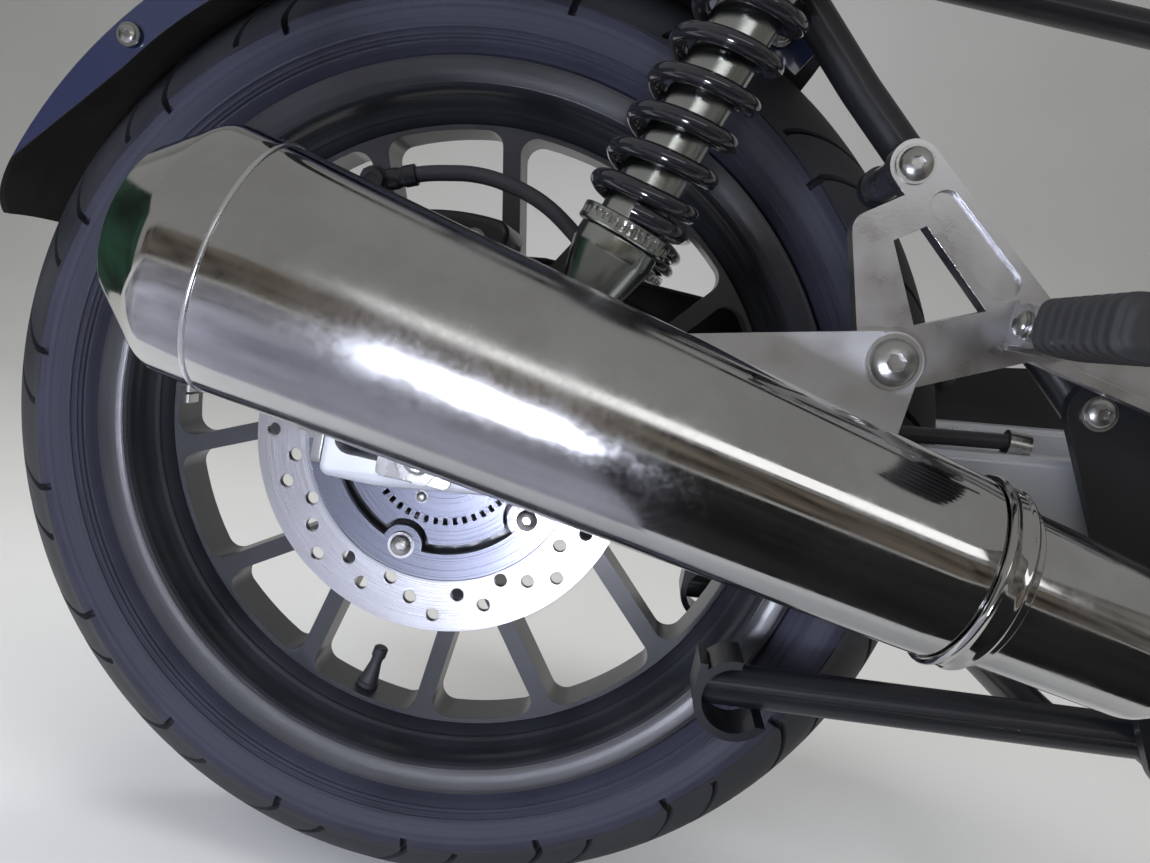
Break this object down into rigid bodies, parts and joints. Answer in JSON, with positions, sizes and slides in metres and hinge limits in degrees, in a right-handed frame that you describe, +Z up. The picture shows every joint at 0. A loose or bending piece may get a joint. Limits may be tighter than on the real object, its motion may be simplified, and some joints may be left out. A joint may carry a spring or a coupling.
{
  "type": "motorcycle rear end",
  "caption": "Rear end of a retro twin-shock motorcycle: spoked cast wheel, disc brake, swingarm, chromed silencers, mudguard and folding centre stand.",
  "frame": {"origin": "middle of the swingarm pivot's bore, halfway between the two frame plates", "axes": "+X forward, +Z up, -Y to the rider's right along the pivot bore"},
  "size_m": [0.8776, 0.59, 0.7416],
  "materials": {
    "tyre_rubber": "dull black with worn tread",
    "satin_black_cast": "satin black paint on cast aluminium",
    "black_rubber": "smooth black",
    "disc_steel": "brushed stainless",
    "zinc_steel": "bright zinc",
    "carrier_alloy": "polished casting",
    "silver_paint": "silver paint",
    "black_paint": "gloss black",
    "shock_chrome": "bright plated",
    "spring_black": "gloss black powder coat",
    "mirror_chrome": "mirror chrome",
    "navy_paint": "deep gloss",
    "peg_rubber": "matt black"
  },
  "bodies": {
    "rear_frame": {"adjuster_bolts": "zinc_steel", "axle_nut": "zinc_steel", "axle_spacers": "zinc_steel", "brake_caliper": "black_paint", "brake_hose": "black_rubber", "brake_pads": "zinc_steel", "caliper_bracket": "black_paint", "chain_adjuster_left": "zinc_steel", "chain_adjuster_right": "zinc_steel", "chain_guard": "black_paint", "exhaust_pipe_left": "mirror_chrome", "exhaust_pipe_right": "mirror_chrome", "frame_plate_left": "black_paint", "frame_plate_right": "black_paint", "frame_stay_left": "black_paint", "frame_stay_right": "black_paint", "guard_bracket": "black_paint", "hose_clips": "zinc_steel", "lower_tube": "black_paint", "mudguard": "navy_paint", "pivot_shaft": "zinc_steel", "rail_tubes": "black_paint", "seat_loop": "black_paint", "seat_rail_left": "black_paint", "seat_rail_right": "black_paint", "shock_body_left": "shock_chrome", "shock_body_right": "shock_chrome", "shock_spring_left": "spring_black", "shock_spring_right": "spring_black", "shock_top_left": "shock_chrome", "shock_top_right": "shock_chrome", "silencer_body_left": "mirror_chrome", "silencer_body_right": "mirror_chrome", "silencer_bracket_left": "mirror_chrome", "silencer_bracket_right": "mirror_chrome", "silencer_cap_left": "mirror_chrome", "silencer_cap_right": "mirror_chrome", "silencer_clamp_left": "mirror_chrome", "silencer_clamp_right": "mirror_chrome", "step_holder_left": "carrier_alloy", "step_holder_right": "carrier_alloy", "swingarm_arm_left": "silver_paint", "swingarm_arm_right": "silver_paint", "swingarm_bridge": "silver_paint", "swingarm_pivot_tube": "silver_paint", "wheel_axle": "zinc_steel"},
    "wheel": {"brake_disc": "disc_steel", "cast_wheel": "satin_black_cast", "rear_sprocket": "zinc_steel", "speed_ring": "disc_steel", "sprocket_carrier": "carrier_alloy", "tyre": "tyre_rubber", "valve_stem": "black_rubber"},
    "stand": {"centre_stand": "black_paint"},
    "peg_right": {"passenger_peg_right": "peg_rubber"},
    "peg_left": {"passenger_peg_left": "peg_rubber"}
  },
  "joints": [
    {"name": "wheel_spin", "type": "hinge", "parent": "rear_frame", "child": "wheel", "pos_m": [-0.48, 0, -0.06], "axis": [0, 1, 0], "continuous": true},
    {"name": "stand_swing", "type": "hinge", "parent": "rear_frame", "child": "stand", "pos_m": [-0.035, 0, -0.132], "axis": [0, -1, 0], "range_deg": [0, 92]},
    {"name": "peg_right_fold", "type": "hinge", "parent": "rear_frame", "child": "peg_right", "pos_m": [-0.188, -0.198, 0.074], "axis": [-1, 0, 0], "range_deg": [0, 88]},
    {"name": "peg_left_fold", "type": "hinge", "parent": "rear_frame", "child": "peg_left", "pos_m": [-0.188, 0.198, 0.074], "axis": [1, 0, 0], "range_deg": [0, 88]}
  ]
}
